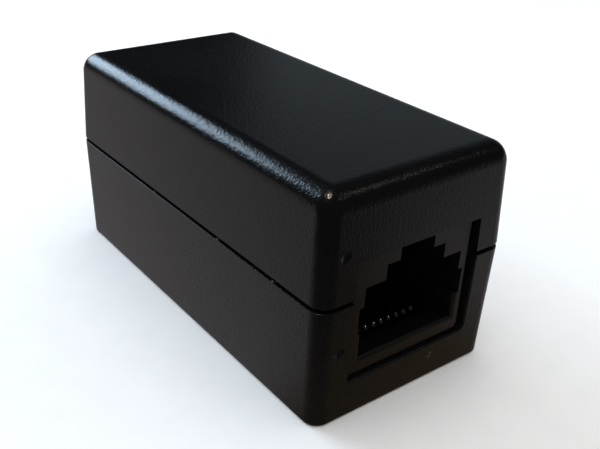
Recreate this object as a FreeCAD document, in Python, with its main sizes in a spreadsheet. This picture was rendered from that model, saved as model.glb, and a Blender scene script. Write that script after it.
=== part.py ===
"""Inline power-over-Ethernet injector: a small two-part moulded box with a network port in each
end, a low-voltage power jack in one long side and a circuit board that carries all three.

The frame has +Z up and +X along the box towards the front port. The origin is the middle of the
underside. Everything is in millimetres.
"""
import FreeCAD, Part
import math
import os
import Sketcher

V = FreeCAD.Vector

# Driving dimensions, in the order in which the sheet lists them.
SIZES = {
    # case
    "length": 47.8,            # over both end faces, at the parting line
    "width": 23.2,             # over both long sides, at the parting line
    "height": 23.8,            # underside to top
    "parting": 12.96,          # height of the parting line
    "parting_gap": 0.46,       # height of the shadow groove that runs round the parting line
    "upper_draft": 2.1,        # degrees
    "lower_draft": 1.0,        # degrees
    "top_radius": 2.1,         # edges round the roof
    "edge_radius": 1.6,        # upright corners
    "base_radius": 0.35,       # edge round the underside
    "rim_radius": 0.06,        # edges of both shells at the shadow groove
    "wall": 1.6,
    "lip_wall": 0.8,           # tongue that closes the shadow groove from the inside
    "lip_rise": 1.3,
    "lip_gap": 0.06,
    # cut-outs in the end walls
    "cutout_width": 15.4,
    "cutout_bottom": 4.1,
    "cutout_top": 16.8,
    "cutout_corner": 0.8,      # corner of the lower shell's cut-outs where the jack stands clear
    "cutout_ease": 0.2,        # rounding of the edges on both sides of that corner
    # moulding marks beside each port
    "mark_y": 9.05,
    "mark_deep": 0.2,
    "mark_ball": 1.0,          # radius of the ball that sinks a mark
    "upper_mark_z": 17.9,
    "lower_mark_z": 8.15,
    # circuit board
    "board_length": 43.8,
    "board_width": 18.8,
    "board_thick": 1.6,
    "board_top": 4.48,
    "tail_hole": 0.9,
    "post_x": 19.4,
    "post_y": 8.3,
    "post_size": 2.6,
    "post_hole": 1.5,
    "post_pin": 1.3,
    # snap hooks and the windows that they catch in
    "hook_x": 13.5,
    "hook_width": 4.0,
    "hook_thick": 1.0,
    "hook_foot": 6.0,
    "hook_top": 16.6,
    "hook_barb": 0.6,
    "hook_gap": 0.4,           # between the hooks and the inner faces of the walls
    # network port: the jack housing and its opening
    "port_face": 23.4,         # distance of the jack's face from the middle of the box
    "jack_depth": 15.5,
    "jack_left": 7.5,          # seen facing the port
    "jack_right": 7.3,
    "jack_bottom": 4.15,       # underside of the lip in front of the board
    "jack_top": 16.72,
    "opening_shift": -0.08,    # centre of the opening, towards the left
    "opening_ease": 0.45,      # rounding of the opening's lower edges
    "jack_corner": 0.9,        # lower corner of the jack on its clear side
    "jack_ease": 0.55,         # edges of the jack's face on both sides of that corner
    "plug_width": 12.06,
    "plug_floor": 6.04,
    "plug_roof": 13.63,
    "plug_depth": 14.0,
    "step_width": 7.3,
    "step_roof": 15.24,
    "slot_width": 4.22,
    "slot_roof": 17.2,         # above the top of the jack, so that the latch slot is open
    "slot_depth": 9.0,
    "catch_wall": 1.7,
    "catch_roof": 15.95,
    "relief_width": 13.1,
    "relief_bottom": 8.8,
    "relief_top": 11.6,
    "relief_depth": 5.0,
    # network port: the insert that holds the contacts
    "insert_width": 10.4,
    "insert_front": 4.2,
    "insert_top": 5.5,
    "comb_front": 12.0,
    "comb_back": 13.9,
    "comb_top": 10.4,
    "comb_slot": 0.7,
    "fit_gap": 0.05,
    # network port: the contacts
    "pitch": 1.016,
    "wire": 0.46,
    "bend_behind": 3.64,       # centre of the contact's front bend, behind the jack's face
    "bend_height": 5.76,
    "bend_radius": 0.5,
    "arm_rise": 18.0,          # degrees
    "arm_length": 9.7,
    "near_row": 8.9,           # solder tails, behind the jack's face
    "far_row": 11.44,
    "tail_bottom": 1.9,
    # power jack in the long side
    "power_face": 11.1,
    "power_width": 9.0,
    "power_top": 15.5,
    "power_depth": 14.2,
    "power_axis": 11.0,
    "power_bore": 6.4,
    "power_bore_depth": 10.4,
    "power_pin": 2.0,
    "power_pin_length": 8.6,
    "power_shank": 1.3,        # the buried part of the pin
    "power_shank_free": 0.6,   # how far the thinner shank stands out of the bottom of the bore
    "power_mouth": 0.35,       # chamfer round the mouth of the bore
    "power_cut_gap": 0.4,
    "leaf_width": 2.4,
    "leaf_thick": 0.35,
    # parts on the board
    "chip_y": 7.0,
}

NETWORK_CONTACTS = 8
SHEET_NAME = "Dim"


def origin_feature(body, role):
    """The plane or axis of the body's own origin that has this role."""
    return next(item for item in body.Origin.OriginFeatures if item.Role == role)


def new_sheet(doc):
    """The spreadsheet that holds the driving dimensions."""
    sheet = doc.addObject("Spreadsheet::Sheet", SHEET_NAME)
    for row, (alias, value) in enumerate(SIZES.items(), start=1):
        sheet.set(f"A{row}", alias.replace("_", " "))
        sheet.set(f"B{row}", str(value))
        sheet.setAlias(f"B{row}", alias)
    doc.recompute()
    return sheet


class Part3D:
    """A body and the short calls that build it up."""

    def __init__(self, doc, sheet, label, placement=None):
        self.doc = doc
        self.sheet = sheet
        self.body = doc.addObject("PartDesign::Body", label)
        self.body.Label = label
        if placement:
            self.body.Placement = placement

    def value(self, text):
        return float(self.sheet.evalExpression(text))

    def sketch(self, name, role, offset="0"):
        sketch = self.body.newObject("Sketcher::SketchObject", name)
        sketch.AttachmentSupport = [(origin_feature(self.body, role), "")]
        sketch.MapMode = "FlatFace"
        sketch.setExpression("AttachmentOffset.Base.z", offset)
        return sketch

    def pin_point(self, sketch, geometry, end, across, up):
        """Hold one point of a sketch at a place given by two expressions."""
        for kind, text in (("DistanceX", across), ("DistanceY", up)):
            index = sketch.addConstraint(
                Sketcher.Constraint(kind, -1, 1, geometry, end, self.value(text)))
            label = f"{kind}{geometry}_{end}"
            sketch.renameConstraint(index, label)
            sketch.setExpression(f"Constraints.{label}", text)

    def polygon(self, sketch, corners):
        """Add a closed straight-sided loop whose corners are pairs of expressions."""
        first = sketch.GeometryCount
        points = [V(self.value(a), self.value(b), 0) for a, b in corners]
        count = len(points)
        for index in range(count):
            sketch.addGeometry(Part.LineSegment(points[index], points[(index + 1) % count]), False)
        for index in range(count):
            following = first + (index + 1) % count
            sketch.addConstraint(
                Sketcher.Constraint("Coincident", first + index, 2, following, 1))
        for index, (across, up) in enumerate(corners):
            self.pin_point(sketch, first + index, 1, across, up)

    def rectangle(self, sketch, low_x, low_y, high_x, high_y):
        corners = [(low_x, low_y), (high_x, low_y), (high_x, high_y), (low_x, high_y)]
        self.polygon(sketch, corners)

    def circle(self, sketch, across, up, radius):
        index = sketch.addGeometry(
            Part.Circle(V(self.value(across), self.value(up), 0), V(0, 0, 1), self.value(radius)),
            False)
        self.pin_point(sketch, index, 3, across, up)
        label = f"Radius{index}"
        row = sketch.addConstraint(Sketcher.Constraint("Radius", index, self.value(radius)))
        sketch.renameConstraint(row, label)
        sketch.setExpression(f"Constraints.{label}", radius)

    def extrude(self, kind, name, sketch, length, backwards=False, both_ways=False, taper=None):
        """A Pad or a Pocket; a Pocket that removes nothing is an error."""
        self.doc.recompute()
        before = self.body.Shape.Volume if self.body.Tip else 0.0
        feature = self.body.newObject(f"PartDesign::{kind}", name)
        feature.Profile = sketch
        feature.setExpression("Length", length)
        feature.Reversed = backwards
        if both_ways:
            feature.SideType = "Symmetric"
        if taper:
            feature.setExpression("TaperAngle", taper)
        self.doc.recompute()
        change = self.body.Shape.Volume - before
        if (change >= 0) if kind == "Pocket" else (change <= 0):
            raise RuntimeError(f"{self.body.Label}: {name} changes nothing")
        return feature

    def pad(self, name, sketch, length, **how):
        return self.extrude("Pad", name, sketch, length, **how)

    def pocket(self, name, sketch, length, **how):
        return self.extrude("Pocket", name, sketch, length, **how)

    def dress(self, kind, measure, name, size, wanted):
        """A Fillet or a Chamfer on every edge of the tip for which wanted(edge) is true."""
        self.doc.recompute()
        base = self.body.Tip
        edges = [f"Edge{number}" for number, edge in enumerate(base.Shape.Edges, start=1)
                 if wanted(edge)]
        if not edges:
            raise RuntimeError(f"{self.body.Label}: {name} finds no edge")
        feature = self.body.newObject(f"PartDesign::{kind}", name)
        feature.Base = (base, edges)
        feature.setExpression(measure, size)
        self.doc.recompute()
        return feature

    def fillet(self, name, radius, wanted):
        """Round every edge of the tip for which wanted(edge) is true."""
        return self.dress("Fillet", "Radius", name, radius, wanted)

    def chamfer(self, name, size, wanted):
        """Bevel every edge of the tip for which wanted(edge) is true."""
        return self.dress("Chamfer", "Size", name, size, wanted)

    def scoop(self, name, role, centre, radius):
        """Remove a ball; the expressions of centre go across, up and out of the plane."""
        feature = self.body.newObject("PartDesign::SubtractiveSphere", name)
        feature.AttachmentSupport = [(origin_feature(self.body, role), "")]
        feature.MapMode = "FlatFace"
        for axis, text in zip("xyz", centre):
            feature.setExpression(f"AttachmentOffset.Base.{axis}", text)
        feature.setExpression("Radius", radius)
        self.doc.recompute()
        return feature

    def row(self, name, features, role, length, count):
        """Repeat features along one of the body's axes."""
        pattern = self.body.newObject("PartDesign::LinearPattern", name)
        pattern.Originals = features
        pattern.Direction = (origin_feature(self.body, role), [""])
        pattern.setExpression("Length", length)
        pattern.Occurrences = count
        self.body.Tip = pattern
        self.doc.recompute()
        return pattern

    def mirror(self, name, features, role):
        """Repeat features on the other side of one of the body's planes."""
        pattern = self.body.newObject("PartDesign::Mirrored", name)
        pattern.Originals = features
        pattern.MirrorPlane = (origin_feature(self.body, role), [""])
        self.body.Tip = pattern
        self.doc.recompute()
        return pattern

    def bend_pipe(self, name, profile, path):
        """A round wire swept along a path sketch."""
        pipe = self.body.newObject("PartDesign::AdditivePipe", name)
        pipe.Profile = profile
        pipe.Spine = path
        self.doc.recompute()
        return pipe


def is_upright(edge):
    """True for an edge that climbs more than it runs."""
    start, end = edge.Vertexes[0].Point, edge.Vertexes[-1].Point
    run = math.hypot(end.x - start.x, end.y - start.y)
    return abs(end.z - start.z) > 5.0 and run < abs(end.z - start.z)


def lies_at(edge, level):
    """True for an edge whose ends are both at this height."""
    return all(abs(vertex.Z - level) < 1e-4 for vertex in edge.Vertexes)


def lies_across(edge, place):
    """True for an edge whose ends are both at this place along Y."""
    return all(abs(vertex.Y - place) < 1e-4 for vertex in edge.Vertexes)


# ---------------------------------------------------------------------------------------------
# case
# ---------------------------------------------------------------------------------------------

def half_case(part, side):
    """The drafted, rounded and hollowed tray that both shells start from.

    side is +1 for the upper shell, which grows up from the parting line, and -1 for the lower.
    """
    upper = side > 0
    draft = "Dim.upper_draft" if upper else "Dim.lower_draft"
    rim = "Dim.parting + Dim.parting_gap / 2" if upper else "Dim.parting - Dim.parting_gap / 2"
    tall = f"Dim.height - ({rim})" if upper else rim
    outside = part.sketch("rim_outline", "XY_Plane", rim)
    part.rectangle(outside, "-Dim.length / 2", "-Dim.width / 2", "Dim.length / 2", "Dim.width / 2")
    part.pad("block", outside, tall, backwards=not upper, taper=f"-{draft}")
    if upper:
        top = part.value("Dim.height")
        part.fillet("soft_top", "Dim.top_radius", lambda edge: lies_at(edge, top))
    part.fillet("soft_corners", "Dim.edge_radius", is_upright)
    if not upper:
        part.fillet("soft_base", "Dim.base_radius", lambda edge: lies_at(edge, 0.0))
    level = part.value(rim)
    part.fillet("soft_rim", "Dim.rim_radius", lambda edge: lies_at(edge, level))
    inside = part.sketch("hollow_outline", "XY_Plane", rim)
    part.rectangle(inside, "-Dim.length / 2 + Dim.wall", "-Dim.width / 2 + Dim.wall",
                   "Dim.length / 2 - Dim.wall", "Dim.width / 2 - Dim.wall")
    part.pocket("hollow", inside, f"{tall} - Dim.wall", backwards=upper, taper=f"-{draft}")
    return rim


def cut_ports(part):
    """The cut-outs for the two network ports and for the power jack."""
    ports = part.sketch("port_outline", "YZ_Plane")
    part.rectangle(ports, "-Dim.cutout_width / 2", "Dim.cutout_bottom",
                   "Dim.cutout_width / 2", "Dim.cutout_top")
    part.pocket("port_cutouts", ports, "Dim.length + 2", both_ways=True)
    power = part.sketch("power_outline", "XZ_Plane", "-Dim.width / 2 - 1")
    part.rectangle(power, "-Dim.power_width / 2 - Dim.power_cut_gap",
                   "Dim.board_top - Dim.power_cut_gap",
                   "Dim.power_width / 2 + Dim.power_cut_gap",
                   "Dim.power_top + Dim.power_cut_gap")
    part.pocket("power_cutout", power, "Dim.wall + 3", backwards=True)


def ease_cutouts(part):
    """Round the cut-outs of the lower shell below each jack and on its clear side."""
    side = part.value("Dim.cutout_width / 2")
    floor = part.value("Dim.cutout_bottom")
    outer = part.value("Dim.length / 2 - 1")

    def is_clear_side(point):
        return abs(math.copysign(1, point.X) * point.Y - side) < 1e-4

    def is_floor(point):
        return abs(point.Z - floor) < 1e-4

    def runs_through_wall(edge):
        return all(is_clear_side(vertex) and is_floor(vertex) for vertex in edge.Vertexes)

    def shows_outside(edge):
        return all(abs(vertex.X) > outer and (is_clear_side(vertex) or is_floor(vertex))
                   for vertex in edge.Vertexes)

    part.fillet("soft_cutout_corners", "Dim.cutout_corner", runs_through_wall)
    part.fillet("soft_cutout_edges", "Dim.cutout_ease", shows_outside)


def moulding_marks(part, height):
    """A shallow round dimple to the left of each port, as seen when facing it."""
    for name, sign in (("front", 1), ("rear", -1)):
        face = f"(Dim.length / 2 - {SINK[height]})"
        centre = (f"{-sign} * Dim.mark_y", f"Dim.{height}",
                  f"{sign} * ({face} + Dim.mark_ball - Dim.mark_deep)")
        part.scoop(f"{name}_mark", "YZ_Plane", centre, "Dim.mark_ball")


# Outline of a snap hook: how far out from the inner face of the wall, and how high.
HOOK = [
    ("0.3", "Dim.hook_foot - 2"),
    ("0.3", "Dim.parting - 2.2"),
    ("(-Dim.hook_gap)", "Dim.parting - 1.2"),
    ("(-Dim.hook_gap)", "Dim.hook_top - 1.5"),
    ("(Dim.hook_barb - Dim.hook_gap)", "Dim.hook_top - 1.3"),
    ("(-Dim.hook_gap)", "Dim.hook_top"),
    ("(-Dim.hook_gap - Dim.hook_thick)", "Dim.hook_top"),
    ("(-Dim.hook_gap - Dim.hook_thick)", "Dim.hook_foot"),
    ("(-0.2)", "Dim.hook_foot - 2"),
]

# How far the drafted end face has fallen back at the height of each mark.
SINK = {
    "upper_mark_z": "(Dim.upper_mark_z - Dim.parting) * tan(Dim.upper_draft)",
    "lower_mark_z": "(Dim.parting - Dim.lower_mark_z) * tan(Dim.lower_draft)",
}


def upper_shell(doc, sheet):
    """Roof and upper walls, with a rebate for the tongue and windows for the hooks."""
    part = Part3D(doc, sheet, "upper_shell")
    rim = half_case(part, +1)
    rebate = part.sketch("rebate_outline", "XY_Plane", rim)
    inset = "Dim.wall - Dim.lip_wall - Dim.lip_gap"
    part.rectangle(rebate, f"-Dim.length / 2 + {inset}", f"-Dim.width / 2 + {inset}",
                   f"Dim.length / 2 - ({inset})", f"Dim.width / 2 - ({inset})")
    part.pocket("rebate", rebate, "Dim.lip_rise - Dim.parting_gap + Dim.lip_gap", backwards=True)
    cut_ports(part)
    windows = part.sketch("window_outline", "XY_Plane", "Dim.hook_top - 1.6")
    reach = "Dim.width / 2 - Dim.wall + Dim.hook_barb"
    for sign in (-1, 1):
        part.rectangle(windows, f"{sign} * Dim.hook_x - Dim.hook_width / 2 - 0.2", f"-({reach})",
                       f"{sign} * Dim.hook_x + Dim.hook_width / 2 + 0.2", reach)
    part.pocket("windows", windows, "1.8", backwards=True)
    ribs = part.sketch("rib_outline", "YZ_Plane", "Dim.port_face - 6")
    for sign in (-1, 1):
        part.rectangle(ribs, f"{sign} * 4.5 - 0.5", "Dim.jack_top + Dim.fit_gap",
                       f"{sign} * 4.5 + 0.5", "Dim.height - Dim.wall + 0.2")
    rib = part.pad("front_ribs", ribs, "6", backwards=True)
    part.mirror("rear_ribs", [rib], "YZ_Plane")
    moulding_marks(part, "upper_mark_z")
    return part.body


def lower_shell(doc, sheet):
    """Floor and lower walls, with the tongue, four posts for the board and four snap hooks."""
    part = Part3D(doc, sheet, "lower_shell")
    rim = half_case(part, -1)
    tongue = part.sketch("tongue_outline", "XY_Plane", rim)
    for inset in ("(Dim.wall - Dim.lip_wall)", "Dim.wall"):
        part.rectangle(tongue, f"-Dim.length / 2 + {inset}", f"-Dim.width / 2 + {inset}",
                       f"Dim.length / 2 - {inset}", f"Dim.width / 2 - {inset}")
    part.pad("tongue", tongue, "Dim.lip_rise")
    cut_ports(part)
    ease_cutouts(part)
    posts = part.sketch("post_outline", "XY_Plane", "Dim.wall - 0.1")
    pins = part.sketch("pin_outline", "XY_Plane", "Dim.board_top - Dim.board_thick - 0.1")
    for sign_x in (-1, 1):
        for sign_y in (-1, 1):
            across, up = f"{sign_x} * Dim.post_x", f"{sign_y} * Dim.post_y"
            part.rectangle(posts, f"{across} - Dim.post_size / 2", f"{up} - Dim.post_size / 2",
                           f"{across} + Dim.post_size / 2", f"{up} + Dim.post_size / 2")
            part.circle(pins, across, up, "Dim.post_pin / 2")
    part.pad("posts", posts, "Dim.board_top - Dim.board_thick - Dim.wall + 0.1")
    part.pad("pins", pins, "Dim.board_thick + 0.5")
    hooks = part.sketch("hook_outline", "YZ_Plane", "Dim.hook_x - Dim.hook_width / 2")
    for sign in (-1, 1):
        outline = []
        for away, up in HOOK:
            outline.append((f"{sign} * (Dim.width / 2 - Dim.wall + {away})", up))
        part.polygon(hooks, outline)
    hook = part.pad("front_hooks", hooks, "Dim.hook_width")
    part.mirror("rear_hooks", [hook], "YZ_Plane")
    moulding_marks(part, "lower_mark_z")
    return part.body


# ---------------------------------------------------------------------------------------------
# circuit board
# ---------------------------------------------------------------------------------------------

def contact_y(number):
    """Expression for the place of one of the eight contacts across a port."""
    return f"{number - (NETWORK_CONTACTS + 1) / 2} * Dim.pitch"


def contact_row(number):
    """The row of solder tails that a contact belongs to."""
    return "near_row" if number % 2 else "far_row"


def circuit_board(doc, sheet):
    """The board, drilled for the posts, the solder tails and the power terminals."""
    part = Part3D(doc, sheet, "circuit_board")
    outline = part.sketch("board_outline", "XY_Plane", "Dim.board_top - Dim.board_thick")
    part.rectangle(outline, "-Dim.board_length / 2", "-Dim.board_width / 2",
                   "Dim.board_length / 2", "Dim.board_width / 2")
    part.pad("board", outline, "Dim.board_thick")
    holes = part.sketch("hole_outline", "XY_Plane", "Dim.board_top")
    for sign_x in (-1, 1):
        for sign_y in (-1, 1):
            part.circle(holes, f"{sign_x} * Dim.post_x", f"{sign_y} * Dim.post_y",
                        "Dim.post_hole / 2")
        for number in range(1, NETWORK_CONTACTS + 1):
            part.circle(holes, f"{sign_x} * (Dim.port_face - Dim.{contact_row(number)})",
                        f"{sign_x} * {contact_y(number)}", "Dim.tail_hole / 2")
    for back, front in (PIN_TERMINAL_Y, SLEEVE_TERMINAL_Y):
        part.rectangle(holes, "-Dim.leaf_width / 2 - 0.15", f"{back} - 0.15",
                       "Dim.leaf_width / 2 + 0.15", f"{front} + 0.15")
    part.pocket("holes", holes, "Dim.board_thick + 1")
    return part.body


# ---------------------------------------------------------------------------------------------
# network ports
# ---------------------------------------------------------------------------------------------

def port_housing(doc, sheet, name, placement):
    """Moulded jack housing with a stepped plug opening, a latch slot and a lip at the board."""
    part = Part3D(doc, sheet, f"{name}_port_housing", placement)
    face = "Dim.port_face"
    block = part.sketch("block_outline", "YZ_Plane", face)
    part.rectangle(block, "-Dim.jack_left", "Dim.jack_bottom", "Dim.jack_right", "Dim.jack_top")
    part.pad("block", block, "Dim.jack_depth", backwards=True)
    cuts = (
        ("plug", face, "plug_width", "plug_floor", "plug_roof", "Dim.plug_depth"),
        ("step", face, "step_width", "plug_floor", "step_roof", "Dim.plug_depth"),
        ("slot", face, "slot_width", "plug_floor", "slot_roof", "Dim.slot_depth"),
        ("relief", face, "relief_width", "relief_bottom", "relief_top", "Dim.relief_depth"),
        ("catch", f"{face} - Dim.catch_wall", "step_width", "plug_floor", "catch_roof",
         "Dim.slot_depth - Dim.catch_wall"),
        ("underside", f"{face} - Dim.insert_front + 2", "insert_width", "board_top",
         "plug_floor", "Dim.jack_depth"),
    )
    for title, start, width, low, high, deep in cuts:
        outline = part.sketch(f"{title}_outline", "YZ_Plane", start)
        middle, spare = ("0", "Dim.fit_gap") if title == "underside" else ("Dim.opening_shift", "0")
        part.rectangle(outline, f"{middle} - Dim.{width} / 2 - {spare}", f"Dim.{low}",
                       f"{middle} + Dim.{width} / 2 + {spare}", f"Dim.{high}")
        part.pocket(title, outline, deep)
    ease_opening(part)
    ease_clear_side(part)
    seat = part.sketch("seat_outline", "YZ_Plane", "Dim.board_length / 2 + 2 * Dim.fit_gap")
    part.rectangle(seat, "-Dim.jack_left - 1", "Dim.jack_bottom - 1",
                   "Dim.jack_right + 1", "Dim.board_top")
    part.pocket("board_seat", seat, "Dim.jack_depth")
    return part.body


def ease_clear_side(part):
    """Round the jack's lower corner on its clear side, and its face's edges beside it."""
    face = part.value("Dim.port_face")
    side = part.value("Dim.jack_right")
    bottom = part.value("Dim.jack_bottom")

    def is_side(point):
        return abs(point.Y - side) < 1e-4

    def is_bottom(point):
        return abs(point.Z - bottom) < 1e-4

    def runs_back(edge):
        return all(is_side(vertex) and is_bottom(vertex) for vertex in edge.Vertexes)

    def rims_face(edge):
        return all(abs(vertex.X - face) < 1e-4 and (is_side(vertex) or is_bottom(vertex))
                   for vertex in edge.Vertexes)

    part.fillet("soft_jack_corner", "Dim.jack_corner", runs_back)
    part.fillet("soft_jack_face", "Dim.jack_ease", rims_face)


def ease_opening(part):
    """Round the edges of the opening's mouth below its side reliefs."""
    face = part.value("Dim.port_face")
    floor = part.value("Dim.plug_floor")
    relief = part.value("Dim.relief_bottom")
    middle = part.value("Dim.opening_shift")
    reach = part.value("Dim.plug_width / 2")

    def wanted(edge):
        for vertex in edge.Vertexes:
            if abs(vertex.X - face) > 1e-4 or abs(abs(vertex.Y - middle) - reach) > 1e-4:
                return False
            if not floor - 1e-4 < vertex.Z < relief + 1e-4:
                return False
        return True

    part.fillet("soft_mouth", "Dim.opening_ease", wanted)


def port_insert(doc, sheet, name, placement):
    """The insert that holds the contacts: a grooved tongue and a comb at the back."""
    part = Part3D(doc, sheet, f"{name}_port_insert", placement)
    profile = part.sketch("profile", "XZ_Plane")
    part.polygon(profile, [
        ("Dim.port_face - Dim.insert_front", "Dim.board_top"),
        ("Dim.port_face - Dim.insert_front", "Dim.insert_top"),
        ("Dim.port_face - Dim.comb_front", "Dim.insert_top"),
        ("Dim.port_face - Dim.comb_front", "Dim.comb_top"),
        ("Dim.port_face - Dim.comb_back", "Dim.comb_top"),
        ("Dim.port_face - Dim.comb_back", "Dim.board_top"),
    ])
    part.pad("block", profile, "Dim.insert_width", both_ways=True)
    first = contact_y(1)
    groove = part.sketch("groove_outline", "XZ_Plane", f"-({first})")
    lead = "Dim.bend_height - Dim.bend_radius - Dim.wire / 2"
    part.polygon(groove, [
        ("Dim.port_face - Dim.insert_front + 1", lead),
        ("Dim.port_face - Dim.near_row + 0.7", lead),
        ("Dim.port_face - Dim.near_row + 0.7", "Dim.board_top - 1"),
        ("Dim.port_face - Dim.far_row - Dim.wire / 2", "Dim.board_top - 1"),
        ("Dim.port_face - Dim.far_row - Dim.wire / 2", "Dim.insert_top + 0.5"),
        ("Dim.port_face - Dim.insert_front + 1", "Dim.insert_top + 0.5"),
    ])
    narrow = part.pocket("groove", groove, "Dim.wire", both_ways=True)
    slot = part.sketch("comb_outline", "XZ_Plane", f"-({first})")
    part.rectangle(slot, "Dim.port_face - Dim.comb_front - 1.3", "Dim.insert_top + 0.2",
                   "Dim.port_face - Dim.comb_front + 0.5", "Dim.comb_top + 0.5")
    wide = part.pocket("comb_slot", slot, "Dim.comb_slot", both_ways=True)
    part.row("all_slots", [narrow, wide], "Y_Axis",
             f"{NETWORK_CONTACTS - 1} * Dim.pitch", NETWORK_CONTACTS)
    return part.body


def wire_sketches(part, tag, start_x, start_z, across):
    """The round section at the start of a wire that sets off along X, and a sketch for its path."""
    section = part.sketch(f"{tag}_section", "YZ_Plane", start_x)
    part.circle(section, across, start_z, "Dim.wire / 2")
    return section, part.sketch(f"{tag}_path", "XZ_Plane", f"-({across})")


def contact_arm(doc, sheet, name, number, placement):
    """The sprung part of one contact: the front bend and the arm that slopes up behind it."""
    part = Part3D(doc, sheet, f"{name}_contact_{number}", placement)
    centre_x = "Dim.port_face - Dim.bend_behind"
    section, path = wire_sketches(part, "arm", centre_x, "Dim.bend_height - Dim.bend_radius",
                                  contact_y(number))
    radius = part.value("Dim.bend_radius")
    middle = V(part.value(centre_x), part.value("Dim.bend_height"), 0)
    sweep = math.radians(90 - part.value("Dim.arm_rise"))
    bend = path.addGeometry(
        Part.ArcOfCircle(Part.Circle(middle, V(0, 0, 1), radius), -math.pi / 2, sweep), False)
    tip = middle + V(math.cos(sweep), math.sin(sweep), 0) * radius
    run = V(-math.sin(sweep), math.cos(sweep), 0) * part.value("Dim.arm_length")
    arm = path.addGeometry(Part.LineSegment(tip, tip + run), False)
    part.pin_point(path, bend, 3, centre_x, "Dim.bend_height")
    path.addConstraint(Sketcher.Constraint("Vertical", bend, 1, bend, 3))
    path.addConstraint(Sketcher.Constraint("Tangent", bend, 2, arm, 1))
    for label, constraint, text in (
            ("Bend", Sketcher.Constraint("Radius", bend, radius), "Dim.bend_radius"),
            ("Rise", Sketcher.Constraint("Angle", arm, math.pi / 2 + sweep),
             "180 deg - Dim.arm_rise * 1 deg"),
            ("Run", Sketcher.Constraint("Distance", arm, run.Length), "Dim.arm_length")):
        row = path.addConstraint(constraint)
        path.renameConstraint(row, label)
        path.setExpression(f"Constraints.{label}", text)
    part.bend_pipe("wire", section, path)
    return part.body


def port_leads(doc, sheet, name, placement):
    """The fixed parts of the eight contacts: each runs back in the insert and down to the board."""
    level = sheet.evalExpression("Dim.bend_height - Dim.bend_radius")
    radius = sheet.wire / 2
    bend = sheet.bend_radius
    start = sheet.port_face - sheet.bend_behind - LEAD_GAP
    leads = []
    for number in range(1, NETWORK_CONTACTS + 1):
        across = sheet.evalExpression(contact_y(number))
        down = sheet.port_face - getattr(sheet, contact_row(number))
        corner = V(down + bend, across, level - bend)
        curve = Part.Arc(V(down + bend, across, level),
                         corner + V(-1, 0, 1).normalize() * bend,
                         V(down, across, level - bend))
        path = Part.Wire([
            Part.makeLine(V(start, across, level), V(down + bend, across, level)),
            curve.toShape(),
            Part.makeLine(V(down, across, level - bend), V(down, across, sheet.tail_bottom)),
        ])
        ring = Part.Wire([Part.makeCircle(radius, V(start, across, level), V(-1, 0, 0))])
        leads.append(path.makePipeShell([ring], True, False))
    feature = doc.addObject("Part::Feature", f"{name}_port_leads")
    feature.Label = feature.Name
    feature.Shape = Part.makeCompound(leads)
    feature.Placement = placement
    return feature


# The sprung arm and the fixed lead of a contact stop this far apart.
LEAD_GAP = 0.03


# ---------------------------------------------------------------------------------------------
# power jack
# ---------------------------------------------------------------------------------------------

# Front and back of the upright strips that carry the power down to the board.
PIN_TERMINAL_Y = ("Dim.power_face - Dim.power_depth - Dim.leaf_thick",
                  "Dim.power_face - Dim.power_depth")
SLEEVE_TERMINAL_Y = ("1.0", "1.0 + Dim.leaf_thick")
LEAF_PIVOT = ("1.6", "6.3")


def power_housing(doc, sheet):
    """Moulded power jack housing: a round bore, a hole for the pin and a channel for the leaf."""
    part = Part3D(doc, sheet, "power_jack_housing")
    face = "-Dim.power_face"
    block = part.sketch("block_outline", "XZ_Plane", face)
    part.rectangle(block, "-Dim.power_width / 2", "Dim.board_top",
                   "Dim.power_width / 2", "Dim.power_top")
    part.pad("block", block, "Dim.power_depth")
    bore = part.sketch("bore_outline", "XZ_Plane", face)
    part.circle(bore, "0.0001", "Dim.power_axis", "Dim.power_bore / 2")
    part.pocket("bore", bore, "Dim.power_bore_depth", backwards=True)
    hole = part.sketch("pin_hole_outline", "XZ_Plane", face)
    part.circle(hole, "0.0001", "Dim.power_axis", "Dim.power_shank / 2")
    part.pocket("pin_hole", hole, "Dim.power_depth + 1", backwards=True)
    channel = part.sketch("channel_outline", "YZ_Plane")
    part.rectangle(channel, "0.8", "Dim.board_top", "10.0", "Dim.power_axis")
    part.pocket("channel", channel, "Dim.leaf_width + 0.5", both_ways=True)
    front = part.value("Dim.power_face")
    part.chamfer("mouth", "Dim.power_mouth",
                 lambda edge: isinstance(edge.Curve, Part.Circle) and lies_across(edge, front))
    return part.body


def turned(doc, name, radius, start, long):
    """A round bar along Y on the power jack's axis."""
    bar = doc.addObject("Part::Cylinder", name)
    bar.setExpression("Radius", radius)
    bar.setExpression("Height", long)
    bar.setExpression("Placement.Base.y", start)
    bar.setExpression("Placement.Base.z", "Dim.power_axis")
    bar.Placement.Rotation = FreeCAD.Rotation(V(1, 0, 0), -90)
    return bar


def power_pin(doc, sheet):
    """Round centre pin with a domed tip on a thinner shank, riveted over behind the housing."""
    rear = f"({PIN_TERMINAL_Y[0]})"
    shoulder = "(Dim.power_face - Dim.power_bore_depth + Dim.power_shank_free)"
    tip = "(Dim.power_face - Dim.power_bore_depth + Dim.power_pin_length)"
    shank = turned(doc, "pin_shank", "Dim.power_shank / 2", rear, f"{shoulder} - {rear} + 0.5")
    pin = turned(doc, "pin_bar", "Dim.power_pin / 2", shoulder, f"{tip} - {shoulder}")
    rivet = turned(doc, "pin_rivet", "Dim.power_pin / 2 + 0.6", f"{rear} - 0.5", "0.5")
    dome = doc.addObject("Part::Sphere", "pin_dome")
    dome.setExpression("Radius", "Dim.power_pin / 2")
    dome.setExpression("Placement.Base.y", tip)
    dome.setExpression("Placement.Base.z", "Dim.power_axis")
    whole = doc.addObject("Part::MultiFuse", "power_jack_pin")
    whole.Label = whole.Name
    whole.Shapes = [shank, pin, rivet, dome]
    return whole


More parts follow.
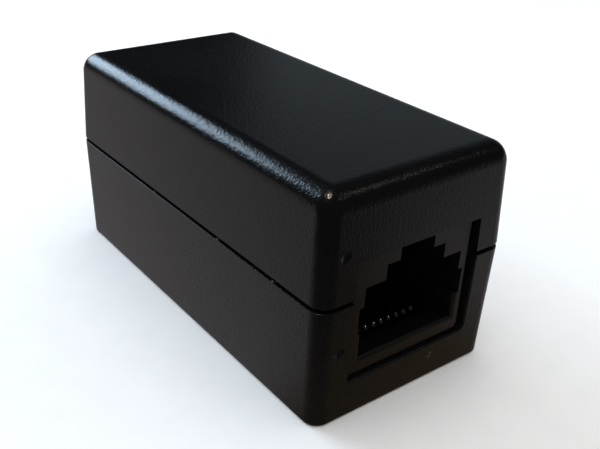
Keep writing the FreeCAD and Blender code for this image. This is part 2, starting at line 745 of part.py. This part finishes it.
def pin_terminal(doc, sheet):
    """Flat strip riveted to the centre pin, down through the board."""
    strip = doc.addObject("Part::Box", "pin_strip")
    strip.setExpression("Length", "Dim.leaf_width")
    strip.setExpression("Width", "Dim.leaf_thick")
    strip.setExpression("Height", "Dim.power_axis + 1.6 - Dim.tail_bottom")
    strip.setExpression("Placement.Base.x", "-Dim.leaf_width / 2")
    strip.setExpression("Placement.Base.y", PIN_TERMINAL_Y[0])
    strip.setExpression("Placement.Base.z", "Dim.tail_bottom")
    hole = turned(doc, "pin_strip_hole", "Dim.power_shank / 2", f"{PIN_TERMINAL_Y[0]} - 1", "3")
    terminal = doc.addObject("Part::Cut", "power_pin_terminal")
    terminal.Base = strip
    terminal.Tool = hole
    terminal.Label = terminal.Name
    return terminal


def sleeve_terminal(doc, sheet):
    """Upright strip from the board to the root of the sprung leaf."""
    part = Part3D(doc, sheet, "power_sleeve_terminal")
    profile = part.sketch("profile", "YZ_Plane")
    part.rectangle(profile, SLEEVE_TERMINAL_Y[0], "Dim.tail_bottom",
                   SLEEVE_TERMINAL_Y[1], f"{LEAF_PIVOT[1]} + Dim.leaf_thick / 2")
    part.pad("strip", profile, "Dim.leaf_width", both_ways=True)
    return part.body


def power_leaf(doc, sheet):
    """Sprung leaf that slopes up into the bore and bears on the sleeve of the plug."""
    part = Part3D(doc, sheet, "power_jack_leaf")
    profile = part.sketch("profile", "YZ_Plane")
    root_y, root_z = LEAF_PIVOT
    part.polygon(profile, [
        (f"{root_y} - 0.15", f"{root_z} - Dim.leaf_thick / 2"),
        (f"{root_y} + 0.15", f"{root_z} - Dim.leaf_thick / 2"),
        (f"{root_y} + 5.9", f"{root_z} + 1.9"),
        (f"{root_y} + 7.6", f"{root_z} + 0.9"),
        (f"{root_y} + 7.8", f"{root_z} + 0.9 + Dim.leaf_thick"),
        (f"{root_y} + 5.9", f"{root_z} + 2.0 + Dim.leaf_thick"),
        (f"{root_y} - 0.15", f"{root_z} + Dim.leaf_thick / 2"),
    ])
    part.pad("leaf", profile, "Dim.leaf_width", both_ways=True)
    return part.body


# ---------------------------------------------------------------------------------------------
# parts on the board
# ---------------------------------------------------------------------------------------------

# Place along X and size of each small part that stands on the board behind the power jack.
CHIPS = {
    "resettable_fuse": (-4.4, 4.5, 3.2, 1.1),
    "surge_diode": (1.0, 4.3, 2.6, 2.2),
    "filter_capacitor": (5.6, 3.2, 1.6, 1.5),
}


def chip(doc, name):
    """A small surface-mounted part with eased upper edges."""
    along, long, wide, tall = CHIPS[name]
    block = doc.addObject("Part::Box", f"{name}_block")
    block.Length = long
    block.Width = wide
    block.Height = tall
    block.setExpression("Placement.Base.x", f"{along} - {long} / 2")
    block.setExpression("Placement.Base.y", f"-Dim.chip_y - {wide} / 2")
    block.setExpression("Placement.Base.z", "Dim.board_top")
    doc.recompute()
    level = block.Shape.BoundBox.ZMax
    eased = doc.addObject("Part::Chamfer", name)
    eased.Base = block
    eased.Edges = [(number, 0.2, 0.2) for number, edge in enumerate(block.Shape.Edges, start=1)
                   if lies_at(edge, level)]
    eased.Label = name
    return eased


def build(doc):
    """Every sub-part of the injector, in one list."""
    sheet = new_sheet(doc)
    parts = [upper_shell(doc, sheet), lower_shell(doc, sheet), circuit_board(doc, sheet)]
    for name, turn in (("front", 0), ("rear", 180)):
        placement = FreeCAD.Placement(V(0, 0, 0), FreeCAD.Rotation(V(0, 0, 1), turn))
        parts.append(port_housing(doc, sheet, name, placement))
        parts.append(port_insert(doc, sheet, name, placement))
        parts.append(port_leads(doc, sheet, name, placement))
        for number in range(1, NETWORK_CONTACTS + 1):
            parts.append(contact_arm(doc, sheet, name, number, placement))
    parts += [power_housing(doc, sheet), power_pin(doc, sheet), pin_terminal(doc, sheet),
              sleeve_terminal(doc, sheet), power_leaf(doc, sheet)]
    parts += [chip(doc, name) for name in CHIPS]
    return parts


def check(doc, parts):
    """Stop if anything in the document failed or a sub-part is empty or faulty."""
    doc.recompute()
    for item in doc.Objects:
        if {"Invalid", "Error"} & set(item.State):
            raise RuntimeError(f"{item.Label} failed to recompute: {item.State}")
    for item in parts:
        if item.Shape.isNull() or not item.Shape.isValid() or not item.Shape.Solids:
            raise RuntimeError(f"{item.Label} has no valid solid")


def main():
    doc = FreeCAD.newDocument("poe_injector")
    parts = build(doc)
    check(doc, parts)
    os.makedirs("parts", exist_ok=True)
    for item in parts:
        item.Shape.exportStep(f"parts/{item.Label}.step")
        box = item.Shape.BoundBox
        print(f"{item.Label:24} solids {len(item.Shape.Solids)}  volume {item.Shape.Volume:8.2f}  "
              f"x {box.XMin:6.2f} {box.XMax:6.2f}  y {box.YMin:6.2f} {box.YMax:6.2f}  "
              f"z {box.ZMin:6.2f} {box.ZMax:6.2f}")


main()
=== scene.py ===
"""Looks for the inline PoE injector: materials, a little fine detail, studio and camera."""
import math

import bmesh
import bpy
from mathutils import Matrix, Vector


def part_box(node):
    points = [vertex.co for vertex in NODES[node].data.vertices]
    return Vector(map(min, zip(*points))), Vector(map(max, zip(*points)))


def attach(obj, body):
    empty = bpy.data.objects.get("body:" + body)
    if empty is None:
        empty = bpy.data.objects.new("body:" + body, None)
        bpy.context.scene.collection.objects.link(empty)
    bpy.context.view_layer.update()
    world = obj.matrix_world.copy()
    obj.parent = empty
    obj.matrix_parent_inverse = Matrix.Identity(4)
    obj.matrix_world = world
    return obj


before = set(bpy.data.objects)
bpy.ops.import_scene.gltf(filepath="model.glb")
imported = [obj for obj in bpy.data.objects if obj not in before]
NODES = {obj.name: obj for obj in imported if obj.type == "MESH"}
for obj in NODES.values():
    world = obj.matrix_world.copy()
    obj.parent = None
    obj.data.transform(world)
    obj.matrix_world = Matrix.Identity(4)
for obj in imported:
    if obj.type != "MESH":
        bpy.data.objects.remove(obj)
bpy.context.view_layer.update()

MM = 0.001
GROOVE = 0.46 * MM             # height of the shadow groove between the two shells


# ---------------------------------------------------------------------------------------------
# node-tree helpers
# ---------------------------------------------------------------------------------------------

class Shader:
    """A material's node tree, with short calls for adding and joining nodes."""

    def __init__(self, name):
        self.material = bpy.data.materials.new(name)
        self.material.use_nodes = True
        self.tree = self.material.node_tree
        self.surface = self.tree.nodes["Principled BSDF"]
        self.place = self.add("ShaderNodeTexCoord").outputs["Object"]

    def add(self, kind, **settings):
        node = self.tree.nodes.new(kind)
        for key, value in settings.items():
            setattr(node, key, value)
        return node

    def join(self, source, target):
        self.tree.links.new(source, target)

    def constant(self, **values):
        """Set sockets of the surface shader by name, with underscores for spaces."""
        for key, value in values.items():
            self.surface.inputs[key.replace("_", " ")].default_value = value

    def noise(self, scale, detail=2.0, place=None):
        node = self.add("ShaderNodeTexNoise")
        node.inputs["Scale"].default_value = scale
        node.inputs["Detail"].default_value = detail
        node.inputs["Roughness"].default_value = 0.5
        self.join(place or self.place, node.inputs["Vector"])
        return node.outputs["Fac"]

    def cells(self, scale, smoothness):
        node = self.add("ShaderNodeTexVoronoi", feature="SMOOTH_F1")
        node.inputs["Scale"].default_value = scale
        node.inputs["Smoothness"].default_value = smoothness
        self.join(self.place, node.inputs["Vector"])
        return node.outputs["Distance"]

    def spread(self, value, low, high, to_low=0.0, to_high=1.0, smooth=False):
        """Map a value from one range to another, with its ends held."""
        node = self.add("ShaderNodeMapRange")
        if smooth:
            node.interpolation_type = "SMOOTHSTEP"
        node.inputs["From Min"].default_value = low
        node.inputs["From Max"].default_value = high
        node.inputs["To Min"].default_value = to_low
        node.inputs["To Max"].default_value = to_high
        self.join(value, node.inputs["Value"])
        return node.outputs["Result"]

    def add_values(self, first, second):
        node = self.add("ShaderNodeMath", operation="ADD")
        self.join(first, node.inputs[0])
        self.join(second, node.inputs[1])
        return node.outputs[0]

    def scale_value(self, value, factor):
        node = self.add("ShaderNodeMath", operation="MULTIPLY")
        self.join(value, node.inputs[0])
        node.inputs[1].default_value = factor
        return node.outputs[0]

    def blend_colours(self, share, dark, light):
        node = self.add("ShaderNodeMix", data_type="RGBA")
        node.inputs["A"].default_value = (*dark, 1.0)
        node.inputs["B"].default_value = (*light, 1.0)
        self.join(share, node.inputs["Factor"])
        return node.outputs["Result"]

    def mix_colours(self, share, first, second):
        """Blend a plain colour with the output of another node."""
        output = self.blend_colours(share, first, first)
        self.join(second, output.node.inputs["B"])
        return output

    def glossy_only(self, plain, mirrored, target):
        """Join one shader for everything but glossy rays, and another for those."""
        path = self.add("ShaderNodeLightPath")
        either = self.add("ShaderNodeMixShader")
        self.join(path.outputs["Is Glossy Ray"], either.inputs[0])
        self.join(plain, either.inputs[1])
        self.join(mirrored, either.inputs[2])
        self.join(either.outputs[0], target)

    def set_colour(self, share, dark, light):
        """Base colour that goes from dark to light with the share."""
        self.join(self.blend_colours(share, dark, light), self.surface.inputs["Base Color"])

    def set_roughness(self, value):
        self.join(value, self.surface.inputs["Roughness"])

    def set_relief(self, height, depth):
        """Bump of this depth in metres."""
        node = self.add("ShaderNodeBump")
        node.inputs["Strength"].default_value = 1.0
        node.inputs["Distance"].default_value = depth
        self.join(height, node.inputs["Height"])
        self.join(node.outputs["Normal"], self.surface.inputs["Normal"])


# ---------------------------------------------------------------------------------------------
# materials; the scales of noises and cells are in features per metre
# ---------------------------------------------------------------------------------------------

def case_plastic():
    """Black moulded plastic with a fine spark-eroded grain and slightly uneven gloss."""
    mat = Shader("case_plastic")
    grain = mat.cells(4600.0, smoothness=0.5)
    pits = mat.noise(3300.0)
    clouds = mat.noise(60.0, detail=3.0)
    mat.set_colour(mat.spread(clouds, 0.3, 0.7),
                   dark=(0.0032, 0.0033, 0.0036), light=(0.0046, 0.0046, 0.0048))
    mat.set_roughness(mat.add_values(mat.spread(clouds, 0.3, 0.75, 0.20, 0.27),
                                     mat.spread(pits, 0.3, 0.7, -0.03, 0.05)))
    mat.set_relief(mat.add_values(mat.scale_value(grain, 0.7), pits), 0.023 * MM)
    mat.constant(IOR=1.5, Specular_IOR_Level=0.25)
    return mat.material


def torn_and_highlight_plastic():
    """The same plastic where it was torn or trimmed: paler, partly the trimmed plastic's own
    tone and partly a painted highlight, and rough at a smaller scale.
    """
    mat = Shader("torn_and_highlight_plastic")
    specks = mat.noise(6000.0, detail=3.0)
    # paler colour: partly the torn plastic's own tone, partly a painted highlight on the small
    # scars
    mat.set_colour(mat.spread(specks, 0.35, 0.65),
                   dark=(0.020, 0.016, 0.013), light=(0.055, 0.047, 0.040))
    mat.set_roughness(mat.spread(specks, 0.3, 0.7, 0.26, 0.42))
    mat.set_relief(specks, 0.010 * MM)
    mat.constant(IOR=1.5, Specular_IOR_Level=0.4)
    return mat.material


def jack_plastic():
    """Smoother, slightly brown plastic of the jack housings."""
    mat = Shader("jack_plastic")
    clouds = mat.noise(140.0, detail=3.0)
    mat.set_colour(mat.spread(clouds, 0.3, 0.7),
                   dark=(0.0034, 0.0031, 0.0028), light=(0.0050, 0.0045, 0.0040))
    mat.set_roughness(mat.spread(clouds, 0.3, 0.7, 0.34, 0.46))
    mat.set_relief(mat.noise(1500.0), 0.004 * MM)
    mat.constant(IOR=1.5, Specular_IOR_Level=0.4)
    return mat.material


def metal(name, dull, bright, rough_low, rough_high, streaks=(1.0, 1.0, 1.0), depth=0.002 * MM):
    """Plated metal with faint drawing marks, drawn out along the axes with low streaks."""
    mat = Shader(name)
    stretch = mat.add("ShaderNodeMapping")
    stretch.inputs["Scale"].default_value = streaks
    mat.join(mat.place, stretch.inputs["Vector"])
    marks = mat.noise(1800.0, detail=4.0, place=stretch.outputs["Vector"])
    mat.set_colour(mat.spread(marks, 0.3, 0.7), dull, bright)
    mat.set_roughness(mat.spread(marks, 0.3, 0.7, rough_low, rough_high))
    mat.set_relief(marks, depth)
    mat.constant(Metallic=1.0)
    return mat.material


def board_laminate():
    """Very dark green solder mask over the faint weave of the glass cloth."""
    mat = Shader("board_laminate")
    weave_x = mat.add("ShaderNodeTexWave", bands_direction="X")
    weave_y = mat.add("ShaderNodeTexWave", bands_direction="Y")
    for wave in (weave_x, weave_y):
        wave.inputs["Scale"].default_value = 420.0
        mat.join(mat.place, wave.inputs["Vector"])
    weave = mat.add_values(weave_x.outputs["Fac"], weave_y.outputs["Fac"])
    mat.set_colour(mat.spread(weave, 0.0, 2.0),
                   dark=(0.002, 0.012, 0.006), light=(0.004, 0.020, 0.010))
    mat.set_relief(weave, 0.004 * MM)
    mat.constant(Roughness=0.32)
    return mat.material


def small_part(name, dark, light, roughness):
    """Body of a small electronic part: speckled, slightly rough."""
    mat = Shader(name)
    specks = mat.noise(2200.0)
    mat.set_colour(mat.spread(specks, 0.35, 0.65), dark, light)
    mat.set_relief(specks, 0.006 * MM)
    mat.constant(Roughness=roughness)
    return mat.material


def dress(material, *names):
    """Give these CAD nodes this one material."""
    for name in names:
        data = NODES[name].data
        data.materials.clear()
        data.materials.append(material)


def names_with(*parts):
    """The CAD nodes whose name holds one of these words."""
    return [name for name in sorted(NODES) if any(part in name for part in parts)]


def dress_all():
    dress(case_plastic(), "upper_shell", "lower_shell")
    dress(jack_plastic(), *names_with("port_housing", "port_insert", "power_jack_housing"))
    plating = metal("contact_plating", dull=(0.74, 0.75, 0.78), bright=(0.86, 0.88, 0.91),
                    rough_low=0.17, rough_high=0.19, streaks=(0.2, 1.0, 1.0), depth=0.0006 * MM)
    dress(plating, *names_with("_contact_"))
    tin = metal("tinned_wire", dull=(0.50, 0.50, 0.50), bright=(0.70, 0.70, 0.69),
                rough_low=0.25, rough_high=0.42)
    dress(tin, *names_with("port_leads"))
    nickel = metal("nickel_plate", dull=(0.55, 0.53, 0.49), bright=(0.74, 0.71, 0.66),
                   rough_low=0.18, rough_high=0.32)
    dress(nickel, "power_jack_pin", "power_pin_terminal", "power_sleeve_terminal",
          "power_jack_leaf")
    dress(board_laminate(), "circuit_board")
    dress(small_part("fuse_laminate", dark=(0.02, 0.09, 0.05), light=(0.03, 0.13, 0.07),
                     roughness=0.5), "resettable_fuse")
    dress(small_part("chip_epoxy", dark=(0.012, 0.012, 0.013), light=(0.02, 0.02, 0.021),
                     roughness=0.55), "surge_diode")
    dress(small_part("chip_ceramic", dark=(0.30, 0.21, 0.13), light=(0.38, 0.27, 0.17),
                     roughness=0.45), "filter_capacitor")


# ---------------------------------------------------------------------------------------------
# moulding scars
# ---------------------------------------------------------------------------------------------

SCAR_STATIONS = 13             # cross-sections along a scar
SCAR_AROUND = 8                # corners of each cross-section
SCAR_LEAST = 0.05              # size of the cross-sections at the ends, against the middle's

GATE_SIDE = 3.1 * MM           # the torn gate below a port: its place on the end wall
GATE_HEIGHT = 2.8 * MM
GATE_SIZE = {"long": 0.9 * MM, "wide": 0.34 * MM, "proud": 0.08 * MM, "ragged": 0.25}

FLASH_PLACES = (7.6 * MM, -5.2 * MM, 16.9 * MM)    # along the rim of the groove
FLASH_INSET = 0.18 * MM        # from the outside of the wall
FLASH_SIZE = {"long": 0.6 * MM, "wide": 0.2 * MM, "proud": 0.12 * MM, "ragged": 0.2}


def surface_point(name, start, direction):
    """Where a line from start meets a CAD node, and the outward normal there."""
    hit, place, normal, _ = NODES[name].ray_cast(Vector(start), Vector(direction))
    if not hit:
        raise RuntimeError(f"no surface of {name} from {start}")
    return place, normal


def scar(name, start, direction, along, long, wide, proud, ragged):
    """A low torn ridge of plastic on the lower shell, with its foot sunk into the wall."""
    place, normal = surface_point("lower_shell", start, direction)
    along = Vector(along).normalized()
    across = normal.cross(along).normalized()
    mesh = bmesh.new()
    rings = []
    for step in range(SCAR_STATIONS):
        share = step / (SCAR_STATIONS - 1)
        swell = max(math.sin(math.pi * share) ** 0.6, SCAR_LEAST)
        wander = math.sin(7.3 * share + 1.1) * 0.5 + math.sin(17.9 * share) * 0.5
        middle = place + along * (share - 0.5) * long + across * wander * ragged * wide
        ring = []
        for turn in range(SCAR_AROUND):
            angle = math.tau * turn / SCAR_AROUND
            rough = 1.0 + ragged * math.sin(5.0 * angle + 11.0 * share)
            out = math.sin(angle) * proud * swell * rough
            side = math.cos(angle) * wide / 2 * swell * rough
            ring.append(mesh.verts.new(middle + across * side + normal * out))
        rings.append(ring)
    for first, second in zip(rings, rings[1:]):
        for turn in range(SCAR_AROUND):
            following = (turn + 1) % SCAR_AROUND
            mesh.faces.new((first[turn], first[following], second[following], second[turn]))
    mesh.faces.new(reversed(rings[0]))
    mesh.faces.new(rings[-1])
    bmesh.ops.recalc_face_normals(mesh, faces=mesh.faces)
    data = bpy.data.meshes.new(name)
    mesh.to_mesh(data)
    mesh.free()
    data.shade_smooth()
    piece = bpy.data.objects.new(name, data)
    bpy.context.collection.objects.link(piece)
    rounder = piece.modifiers.new("rounder", "SUBSURF")
    rounder.levels = rounder.render_levels = 2
    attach(piece, "case")
    return piece


def moulding_scars():
    """The torn-off gates below both ports, and a little flash on the rim of the groove."""
    low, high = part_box("lower_shell")
    outside = high.x + 5 * MM
    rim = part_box("upper_shell")[0].z - GROOVE
    pieces = []
    for name, sign in (("front", 1), ("rear", -1)):
        pieces.append(scar(
            f"{name}_gate_scar", (sign * outside, sign * GATE_SIDE, low.z + GATE_HEIGHT),
            direction=(-sign, 0, 0), along=(0, 0.25 * sign, 1), **GATE_SIZE))
    for number, across in enumerate(FLASH_PLACES):
        pieces.append(scar(
            f"rim_flash_{number}", (across, low.y + FLASH_INSET, rim + GROOVE / 2),
            direction=(0, 0, -1), along=(1, 0, 0), **FLASH_SIZE))
    # the paler torn plastic is partly a painted highlight on these scars
    torn = torn_and_highlight_plastic()
    for piece in pieces:
        piece.data.materials.append(torn)


# ---------------------------------------------------------------------------------------------
# studio and camera
# ---------------------------------------------------------------------------------------------

TARGET = (0, 0, 20 * MM)       # the lights face this point

# azimuth and elevation in degrees, distance and size in metres, power in watts, colour
BROAD_LIGHTS = {
    "window": (196, 26, 0.50, (0.27, 0.17), 1.75, (0.62, 0.81, 1.0)),
    "far_wall": (120, 17, 0.84, (0.76, 0.60), 0.28, (0.74, 0.90, 1.0)),
}
GLINTS = {
    "lamp_above": (-85, 74, 0.50, (0.02, 0.02), 2.6, (1.0, 0.88, 0.70)),
    "lamp_beside": (53, 44, 0.50, (0.02, 0.02), 0.035, (1.0, 0.88, 0.70)),
    "strip_beside": (41, 44, 0.50, (0.14, 0.03), 0.018, (1.0, 1.0, 1.0)),
}

# the painted reflection, a glow with a painted shadow that the plastic mirrors in place of the
# paper:
# its tones, and how far from the middle of the object it changes from one to the next
PAINTED_SHADOW_TOWARDS = (0.81, -0.59, 0.0)          # direction in which the painted shadow gets dark, towards the photographer's side
# painted shadow in the reflection: where it begins and ends, and how dark it gets
PAINTED_SHADOW_FALLS = (0.0172, 0.0442)
PAINTED_SHADOW_DEPTH = 0.01
PAINTED_REFLECTION_SIDE = (0.47, 0.445, 0.45)         # painted reflection beside the long side
PAINTED_REFLECTION_END_NEAR = (0.195, 0.135, 0.075)   # painted brown reflection in front of the end
PAINTED_REFLECTION_END_FAR = (0.440, 0.415, 0.430)
PAINTED_REFLECTION_SIDE_TO_END = (0.014, 0.025)       # along X
PAINTED_REFLECTION_NEAR_TO_FAR = (0.006, 0.026)       # along Y

PAPER_LIGHT = 0.70                       # the room as the paper and the camera see it
ROOM_LIGHT = 0.012                       # the room as the plastic mirrors it
ROOM_COLOUR = (0.75, 0.88, 1.0, 1.0)


def towards(azimuth, elevation, distance):
    """A place at this distance from the object, with the two angles in degrees."""
    turn, tilt = math.radians(azimuth), math.radians(elevation)
    return (distance * math.cos(tilt) * math.cos(turn),
            distance * math.cos(tilt) * math.sin(turn),
            distance * math.sin(tilt) + TARGET[2])


def area_light(name, place, size, power, colour):
    data = bpy.data.lights.new(name, "AREA")
    data.shape = "RECTANGLE"
    data.size, data.size_y = size
    data.energy = power
    data.color = colour
    lamp = bpy.data.objects.new(name, data)
    lamp.location = place
    lamp.rotation_euler = (Vector(TARGET) - Vector(place)).to_track_quat("-Z", "Y").to_euler()
    bpy.context.collection.objects.link(lamp)
    return lamp


def painted_reflection_glow(mat):
    """What the glossy plastic sees in place of the paper: a glowing painted reflection, with a
    painted shadow on the photographer's side, and brown close to the end of the box."""
    away = mat.add("ShaderNodeVectorMath", operation="DOT_PRODUCT")
    away.inputs[1].default_value = PAINTED_SHADOW_TOWARDS
    mat.join(mat.place, away.inputs[0])
    # painted shadow: the glow dims towards the photographer's side
    painted_shadow = mat.spread(away.outputs["Value"], *PAINTED_SHADOW_FALLS, 1.0, PAINTED_SHADOW_DEPTH)
    split = mat.add("ShaderNodeSeparateXYZ")
    mat.join(mat.place, split.inputs[0])
    end_share = mat.spread(split.outputs["Y"], *PAINTED_REFLECTION_NEAR_TO_FAR, smooth=True)
    end_tone = mat.blend_colours(end_share, PAINTED_REFLECTION_END_NEAR, PAINTED_REFLECTION_END_FAR)
    side_share = mat.spread(split.outputs["X"], *PAINTED_REFLECTION_SIDE_TO_END, smooth=True)
    tone = mat.mix_colours(side_share, PAINTED_REFLECTION_SIDE, end_tone)
    # the painted reflection glows, though it is no lamp
    glow = mat.add("ShaderNodeEmission")
    mat.join(tone, glow.inputs["Color"])
    mat.join(painted_shadow, glow.inputs["Strength"])
    return glow.outputs[0]


def floor_material():
    """Pale paper, with a glowing painted reflection in its place where the plastic mirrors it.
    """
    mat = Shader("floor_paper_and_painted_reflection")
    fibres = mat.noise(300.0, detail=3.0)
    mat.set_colour(mat.spread(fibres, 0.3, 0.7),
                   dark=(0.90, 0.90, 0.90), light=(0.92, 0.92, 0.92))
    mat.constant(Roughness=0.9, Specular_IOR_Level=0.1)
    # glossy rays see the painted reflection, all other rays the paper
    mat.glossy_only(mat.surface.outputs[0], painted_reflection_glow(mat),
                    mat.tree.nodes["Material Output"].inputs["Surface"])
    return mat.material


def dim_room():
    """Even white light on the paper; the plastic mirrors only a dim blue-grey room."""
    world = bpy.data.worlds.new("dim_room")
    world.use_nodes = True
    tree = world.node_tree
    white = tree.nodes["Background"]
    white.inputs["Color"].default_value = (1.0, 1.0, 1.0, 1.0)
    white.inputs["Strength"].default_value = PAPER_LIGHT
    dim = tree.nodes.new("ShaderNodeBackground")
    dim.inputs["Color"].default_value = ROOM_COLOUR
    dim.inputs["Strength"].default_value = ROOM_LIGHT
    path = tree.nodes.new("ShaderNodeLightPath")
    either = tree.nodes.new("ShaderNodeMixShader")
    tree.links.new(path.outputs["Is Glossy Ray"], either.inputs[0])
    tree.links.new(white.outputs[0], either.inputs[1])
    tree.links.new(dim.outputs[0], either.inputs[2])
    tree.links.new(either.outputs[0], tree.nodes["World Output"].inputs["Surface"])
    bpy.context.scene.world = world


def studio():
    """A plain pale floor with a painted reflection for the plastic, a dim room and soft lights,
    with small lamps for the glints.
    """
    bpy.ops.mesh.primitive_plane_add(size=4.0, location=(0, 0, 0))
    floor = bpy.context.object
    floor.name = "floor"
    floor.data.materials.append(floor_material())
    dim_room()
    overhead = area_light("overhead", place=(0.0, 0.05, 0.70), size=(0.5, 0.5), power=1.4,
                          colour=(1.0, 0.99, 0.97))
    overhead.visible_glossy = False
    for name, (azimuth, elevation, distance, *light) in BROAD_LIGHTS.items():
        area_light(name, towards(azimuth, elevation, distance), *light)
    for name, (azimuth, elevation, distance, *light) in GLINTS.items():
        lamp = area_light(name, towards(azimuth, elevation, distance), *light)
        lamp.visible_diffuse = False


def photo_camera():
    """A camera at the photograph's viewing angle."""
    data = bpy.data.cameras.new("camera")
    data.sensor_width = 36.0
    data.lens = 47.95
    data.shift_x = 0.0426
    data.shift_y = 0.0151
    data.clip_start = 1 * MM
    data.clip_end = 10.0
    camera = bpy.data.objects.new("camera", data)
    camera.location = (65.77 * MM, -47.98 * MM, 50.99 * MM)
    camera.rotation_euler = [math.radians(angle) for angle in (61.350, -1.638, 54.100)]
    bpy.context.collection.objects.link(camera)
    bpy.context.scene.camera = camera


dress_all()
moulding_scars()
studio()
photo_camera()
bpy.context.scene.view_settings.view_transform = "Standard"
